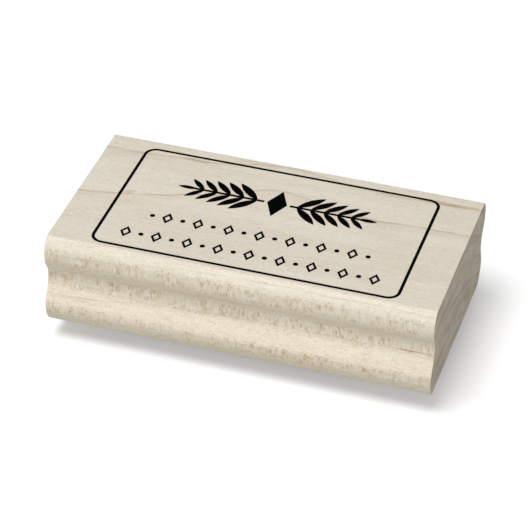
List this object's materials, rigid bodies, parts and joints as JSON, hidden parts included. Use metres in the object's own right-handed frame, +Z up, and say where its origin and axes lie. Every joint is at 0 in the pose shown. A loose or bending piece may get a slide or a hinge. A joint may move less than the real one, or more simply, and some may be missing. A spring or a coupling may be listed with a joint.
{
  "type": "wood-mounted rubber stamp",
  "caption": "Hand stamp: a moulded hardwood block with finger grooves and an index print on top, and an engraved rubber die on a foam cushion below.",
  "frame": {"origin": "middle of the printing face, on the surface that the die rests on", "axes": "+X along the block's length, +Y towards the top of the artwork, +Z up through the block"},
  "size_m": [0.076, 0.0418, 0.0235],
  "materials": {
    "maple": "sanded bare maple, fine straight grain, unvarnished",
    "index_ink": "matt black printed ink",
    "adhesive": "clear acrylic double-sided film, slightly yellow",
    "foam": "light grey closed-cell foam, matt",
    "die_rubber": "matt grey laser-engraved rubber"
  },
  "bodies": {
    "die": {"rubber_die": "die_rubber", "die_adhesive": "adhesive", "foam_cushion": "foam"},
    "mount": {"block_adhesive": "adhesive", "mount_block": "maple", "index_border": "index_ink", "index_divider": "index_ink", "index_rows": "index_ink"}
  },
  "joints": [
    {"name": "cushion_press", "type": "slide", "parent": "die", "child": "mount", "axis": [0, 0, -1], "range_m": [0, 0.0005], "stiffness_N_per_m": 60000, "deforming": ["foam_cushion"]}
  ]
}
